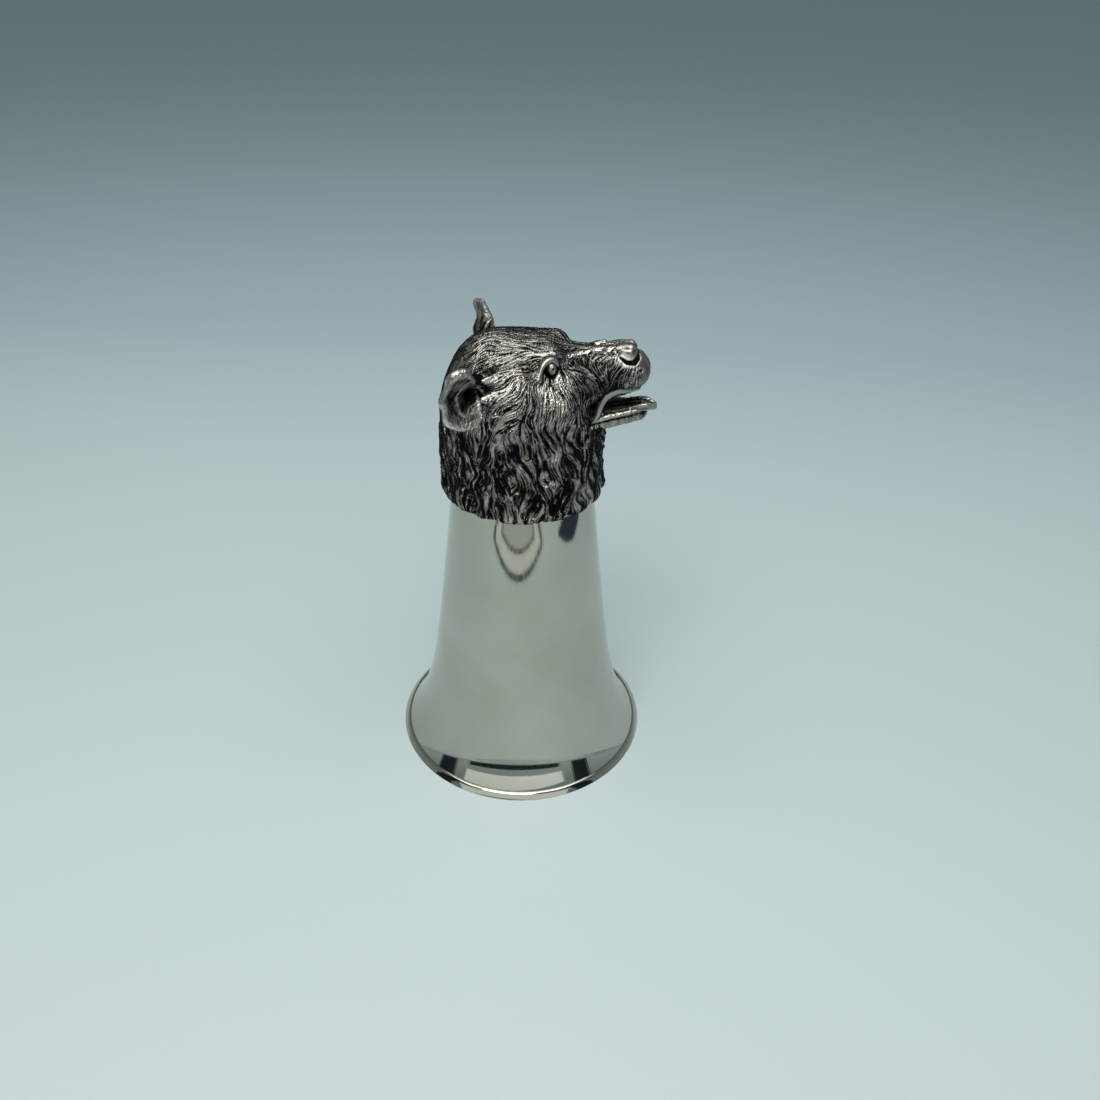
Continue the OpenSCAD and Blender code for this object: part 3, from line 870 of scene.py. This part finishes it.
EAR_UP = unit((-0.04, 0.16, 0.98))
EAR_MARGIN = 1.3
EAR_WALL = 1.3
EAR_STROKE = 0.16
EAR_ROOT_END = (-7, 8, 28)
# The bear's left ear is narrower and shallower than the right one. Turns are in degrees from straight ahead.
EARS = {
    "left": {
        "middle": (-12, 18.2, 31.4), "half_w": 2.1, "half_h": 6.2, "depth": 2.6, "turn": 68, "square": 4,
        "narrow": 0.25, "front": 1.5, "root_r": 1.7, "box": ((-21, 3, 21), (1, 26, 41)),
    },
    "right": {
        "middle": (-10, 19.6, 31.4), "half_w": 5.5, "half_h": 7.3, "depth": 5.0, "turn": 64, "square": 2.2,
        "narrow": 0.2, "front": 0.5, "root_r": 3.4, "box": ((-21, -26, 21), (1, -3, 41)),
    },
}


def ear_field(sizes):
    """The field of one ear, and the rule for how bright its points are: darker deeper in the bowl, brighter
    on its ridges, and with a painted highlight low on the ear.
    """
    turn = math.radians(sizes["turn"])
    centre = np.array(sizes["middle"], np.float32)
    half_w = sizes["half_w"]
    depth = sizes["depth"]
    square = sizes["square"]
    flat = np.array((math.cos(turn), math.sin(turn), 0))
    facing = unit(flat - np.dot(flat, EAR_UP) * EAR_UP)
    front = np.cross(EAR_UP, facing)
    front = (front * np.sign(front[0])).astype(np.float32)

    def field(points):
        at = fold(points)
        away = at - centre
        across, up, out = away @ front, away @ EAR_UP, away @ facing
        rise = up / sizes["half_h"]
        half = half_w * (1 - sizes["narrow"] * np.clip(rise, -0.6, 1))
        middle = across + 0.9 * rise * np.abs(rise) + 0.25 * np.sin(1.1 * up)
        reach = (np.abs(middle / half) ** square + np.abs(rise) ** square) ** (1 / square)
        out = out - 0.5 * np.sin(0.5 * across + 0.35 * up)
        hollow = np.hypot((middle - 1.9) / (0.74 * half), (rise + 0.05) / 0.66)
        sunk = steps(1.1, 0.1, hollow)
        deep = out + EAR_MARGIN * (1 - reach ** 2) + (depth - EAR_MARGIN) * sunk
        lean = 1.15 + 2.8 * sunk * (1 - sunk)
        wall = carve(np.abs(deep) / lean - EAR_WALL / 2, (1 - reach) * half_w, 0.4)
        rim = np.hypot((reach - 1) * half_w, out) - 0.68 - 0.16 * np.sin(0.9 * up + 1)
        inner = np.hypot((hollow - 1.0) * 0.7 * half_w, deep - 0.4) - 0.34
        inner = carve(inner, -middle - 1, 0.6)
        front_edge = sizes["front"] * half - middle
        root = bone(at, centre - 3.4 * facing - 1.5 * EAR_UP, EAR_ROOT_END, sizes["root_r"], 6.0)
        root = carve(root, (0.2 - deep) / lean, 0.4)
        bowl = carve(blend(blend(wall, rim, 0.8), inner, 0.5), front_edge, 0.8)
        return blend(bowl, root, 1.2)

    def wear_and_painted_light(spots, ridge):
        deep = -((fold(spots) - centre) @ facing) / depth
        # Painted highlight: the lower part of the ear is toned brighter.
        low = steps(-2, -5, (fold(spots) - centre) @ EAR_UP)
        return 0.4 + 0.22 * low - 0.4 * np.clip(deep, 0, 1) + 0.28 * np.clip(ridge, -1, 1)

    return field, wear_and_painted_light


for name, sizes in EARS.items():
    field, wear_and_painted_light = ear_field(sizes)
    cast_piece(name + "_ear_bowl", field, *sizes["box"], PITCH, wear_and_painted_light, EAR_STROKE, name + "_ear")

# Eyes: a ball with a ring round the iris and a pit for the pupil

EYE_R = 1.5
EYE_NARROW = 0.75
IRIS_R = 0.85
IRIS_AHEAD = 1.23
PUPIL_R = 0.36
PUPIL_FLOOR = 1.2
EYE_REACH = 2.9
EYE_PITCH = 0.09
EYE_STROKE = 0.02
EYE_SIDE = unit(np.cross((0, 0, 1), EYE_OUT))


def eye(points):
    """An upright oval ball, with its ring and its pit."""
    away = fold(points) - (EYE - 0.8 * EYE_OUT)
    ahead = away @ EYE_OUT
    aside = (away @ EYE_SIDE) / EYE_NARROW
    around = np.hypot(aside, away @ np.cross(EYE_OUT, EYE_SIDE))
    ball = np.hypot(ahead, around) - EYE_R
    iris = np.hypot(around - IRIS_R, ahead - IRIS_AHEAD) - 0.1
    pupil = np.maximum(np.hypot(around, np.maximum(ahead - 1.6, 0)) - PUPIL_R, PUPIL_FLOOR - ahead)
    return carve(carve(ball, iris, 0.1), pupil, 0.1)


def eye_worn(spots, ridge):
    return 0.55 + 0.25 * np.clip(ridge, -2, 0.5)


for name, side in (("left", 1), ("right", -1)):
    middle = EYE * (1, side, 1)
    box = (middle - EYE_REACH, middle + EYE_REACH)
    cast_piece(name + "_eye_ball", eye, *box, EYE_PITCH, eye_worn, EYE_STROKE, name + "_eye")

# Lower jaw: a trough with rolled lips and teeth, hung from the throat

JAW_SIDES = rounded((
    (12, 3.8, 18, 1.6), (17, 4.2, 19.5, 1.4), (22, 3.7, 20.6, 1.35), (27.4, 1.8, 21.5, 1.3),
    (28.8, 0, 21.7, 1.15),
), 2)
JAW_LIPS = rounded((
    (17.4, 5.2, 20.6, 0.4), (19.2, 5.1, 21.6, 0.6), (22.8, 4.2, 22.4, 0.65), (27.8, 2, 22.8, 0.65),
    (29.5, 0, 22.9, 0.5),
), 2)
JAW_UNDER = ((12, 0, 17, 3.2), (19, 0, 18.6, 2.2), (27.8, 0, 20.9, 1.4))
JAW_TROUGH = ((15, 0, 22.6, 3.4), (21, 0, 22.8, 2.6), (25.8, 0, 22.9, 1.5))
CANINE = ((25.6, 2.6, 21.8, 0.8), (25.9, 2.7, 22.9, 0.6), (25.8, 2.8, 23.8, 0.25))
CHEEK_TEETH = ((23.6, 3.5), (22.2, 4), (20.8, 4.4), (19.4, 4.7))
FRONT_TEETH = ((26.7, 1.5), (27.2, 0.5))
JAW_BOX = ((8, -10, 10), (30.5, 10, 26.5))
JAW_PITCH = 0.18
JAW_STROKE = 0.14


def jaw(points):
    at = fold(points)
    body = blend(chain(at, *JAW_SIDES), chain(at, *JAW_UNDER), 1.0)
    body = carve(body, chain(at, *JAW_TROUGH), 0.4)
    body = blend(body, chain(at, *JAW_LIPS), 0.4)
    body = blend(body, chain(at, *CANINE), 0.25)
    for spot in CHEEK_TEETH:
        body = blend(body, bone(at, (*spot, 21.6), (*spot, 22.7), 0.5, 0.2), 0.2)
    for spot in FRONT_TEETH:
        body = blend(body, bone(at, (*spot, 22), (*spot, 23), 0.45, 0.25), 0.2)
    return body


def jaw_wear_and_shade(spots, ridge):
    # Painted shade inside the mouth, over the jaw's trough; the tops of the teeth are toned brighter.
    mouth_shade = np.clip((spots[:, 2] - 20.5) / 1.2, 0, 1) * np.clip((3.2 - np.abs(spots[:, 1])) / 1.5, 0, 1)
    teeth = steps(22.9, 23.3, spots[:, 2])
    return 0.4 - 0.3 * mouth_shade + 0.3 * np.clip(ridge, -1, 1.2) + 0.2 * teeth


cast_piece("jaw_cast", jaw, *JAW_BOX, JAW_PITCH, jaw_wear_and_shade, JAW_STROKE, "lower_jaw")

# Tongue: broad, hollowed along its middle, with its tip reaching over the lip

TONGUE_MIDDLE = rounded((
    (16, 0, 20.6, 1.2), (21, 0, 21.3, 1.2), (25, 0, 22.2, 1.15), (28.4, 0, 23.2, 1.0), (31.4, 0, 23.3, 0.6),
), 2)
TONGUE_EDGES = rounded((
    (17, 2.2, 21.6, 0.4), (22, 2.6, 22.5, 0.45), (26.2, 2.4, 23.6, 0.5), (29.6, 1.7, 24.3, 0.5),
    (31.6, 0.5, 23.5, 0.45),
), 2)
TONGUE_CREASE = ((17, 0, 22.8, 0.9), (26, 0, 24, 1.0), (30.2, 0, 24.6, 0.5))
TONGUE_FLATNESS = np.array((1, 0.42, 1), np.float32)
TONGUE_BOX = ((14, -4, 19), (33, 4, 26))
TONGUE_PITCH = 0.16
TONGUE_STROKE = 0.12


def tongue(points):
    at = fold(points)
    body = blend(chain(at * TONGUE_FLATNESS, *TONGUE_MIDDLE), chain(at, *TONGUE_EDGES), 0.6)
    return carve(body, chain(at, *TONGUE_CREASE), 0.6)


def tongue_wear_and_highlight(spots, ridge):
    # The tip of the tongue is toned brighter as a painted highlight.
    return 0.16 + 0.34 * np.clip((spots[:, 0] - 26) / 4, 0, 1) + 0.26 * np.clip(ridge, -1, 1)


cast_piece("tongue_cast", tongue, *TONGUE_BOX, TONGUE_PITCH, tongue_wear_and_highlight, TONGUE_STROKE, "tongue")

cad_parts["solder_joint"].data.materials.clear()
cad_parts["solder_joint"].data.materials.append(SOLDER)

# Stage

FLOOR_HALF = 3.0
# Painted shade: the floor's colour darkens towards the back, through these tones.
FLOOR_FADE = 1.6
FLOOR_START = 0.2
FLOOR_TONES = [(0.0, (0.54, 0.61, 0.61)), (0.45, (0.51, 0.61, 0.61)), (0.65, (0.45, 0.56, 0.58))]
TENT_TONES = [(0.0, (0.38, 0.45, 0.46)), (0.25, (0.24, 0.285, 0.295)), (0.6, (0.17, 0.205, 0.215))]
NAVY = (0.012, 0.02, 0.04)
PALE = (0.64, 0.67, 0.64)
GREY = (0.42, 0.45, 0.43)
corners = [(-1, -1, 0), (1, -1, 0), (1, 1, 0), (-1, 1, 0)]
floor = mesh_object("floor", np.array(corners) * FLOOR_HALF / MM, [(0, 1, 2, 3)])
floor_material, floor_tree, floor_shader = new_material("floor_paper")
floor_place = node(floor_tree, "ShaderNodeTexCoord").outputs["Object"]
floor_far = node(floor_tree, "ShaderNodeSeparateXYZ", {0: floor_place}).outputs["Y"]
floor_share = sums(floor_tree, "MULTIPLY_ADD", floor_far, FLOOR_FADE, FLOOR_START)
floor_tree.links.new(ramp(floor_tree, floor_share, FLOOR_TONES), floor_shader.inputs["Base Color"])
floor_shader.inputs["Roughness"].default_value = 0.6
floor.data.materials.append(floor_material)


# Soft boxes: name, place, the point that they face, width, height and watts
LIGHTS = (
    ("top_box", (0, -0.08, 0.7), (0, -0.03, 0.06), 0.8, 0.5, 3.2),
    ("front_window_high", (0, -1.2, 1.0), (0, 0, 0.08), 2.6, 0.56, 3.2),
    ("front_window_low", (0, -1.35, 0.38), (0, 0, 0.08), 2.6, 0.32, 1.7),
    ("spark_box", (-0.05, -0.36, 0.62), (0, 0, 0.09), 0.4, 0.2, 1.5),
)


def area_light(name, place, target, width, height, watts):
    """A soft box that faces a point."""
    lamp = bpy.data.lights.new(name, "AREA")
    lamp.shape = "RECTANGLE"
    lamp.size = width
    lamp.size_y = height
    lamp.energy = watts
    thing = add_object(name, lamp)
    thing.location = place
    thing.rotation_euler = (Vector(target) - Vector(place)).to_track_quat("-Z", "Y").to_euler()


for light in LIGHTS:
    area_light(*light)


def card(name, colour, corners):
    """A plain card that only shows in reflections. Its corners are in millimetres."""
    thing = mesh_object(name, corners, [(0, 1, 2, 3)])
    material, tree, shader = new_material(name)
    shader.inputs["Base Color"].default_value = (*colour, 1)
    thing.data.materials.append(material)
    thing.visible_camera = False
    thing.visible_diffuse = False
    thing.visible_shadow = False


for name, side in (("left", -1), ("right", 1)):
    foot = [(side * 960, -700, 0), (side * 1150, -440, 0)]
    top = [(side * 1150, -440, 1400), (side * 960, -700, 1400)]
    card("end_card_" + name, NAVY, foot + top)
card("skirting", NAVY, [(-1050, -1150, 0), (1050, -1150, 0), (1050, -1150, 80), (-1050, -1150, 80)])
# A sheet with ruled edges lies on the floor in front, as four cards: half width, nearest edge and colour
SHEETS = ((118, 162, NAVY), (108, 169, PALE), (84, 190, NAVY), (78, 195, GREY))
SHEET_FAR = 430
SHEET_LIFT = 0.3
for turn, (half, near, colour) in enumerate(SHEETS):
    high = SHEET_LIFT * (turn + 1)
    left_edge = [(-half, -near, high), (-half, -SHEET_FAR, high)]
    right_edge = [(half, -SHEET_FAR, high), (half, -near, high)]
    card("sheet_" + str(turn), colour, left_edge + right_edge)
card("corner_card", NAVY, [(168, -105, 0.3), (259, -23, 0.3), (186, 66, 0.3), (171, -16, 0.3)])

world = bpy.data.worlds.new("tent")
world.use_nodes = True
world_tree = world.node_tree
sky_place = node(world_tree, "ShaderNodeTexCoord").outputs["Generated"]
upward = node(world_tree, "ShaderNodeSeparateXYZ", {0: sky_place}).outputs["Z"]
world_tree.links.new(ramp(world_tree, upward, TENT_TONES), world_tree.nodes["Background"].inputs["Color"])
world_tree.nodes["Background"].inputs["Strength"].default_value = 1.0
bpy.context.scene.world = world

# Camera, at the photograph's place. The bear is turned a little towards it.
PHOTO_SIZE = 1100
FOCAL_PIXELS = 961
CAMERA_PLACE = Vector((7.364, -210.98, 207.61)) * MM
CAMERA_PITCH = math.radians(35.063)
CAMERA_ROLL = math.radians(1.405)
BEAR_TURN = math.radians(5)
camera_data = bpy.data.cameras.new("camera")
camera_data.sensor_width = 36
camera_data.lens = FOCAL_PIXELS / PHOTO_SIZE * camera_data.sensor_width
camera_data.clip_start = 0.01
camera = add_object("camera", camera_data)
aim = Matrix.Rotation(math.pi / 2 - CAMERA_PITCH, 4, "X") @ Matrix.Rotation(CAMERA_ROLL, 4, "Z")
camera.matrix_world = Matrix.Rotation(BEAR_TURN, 4, "Z") @ Matrix.Translation(CAMERA_PLACE) @ aim
bpy.context.scene.camera = camera
bpy.context.scene.view_settings.view_transform = "Standard"
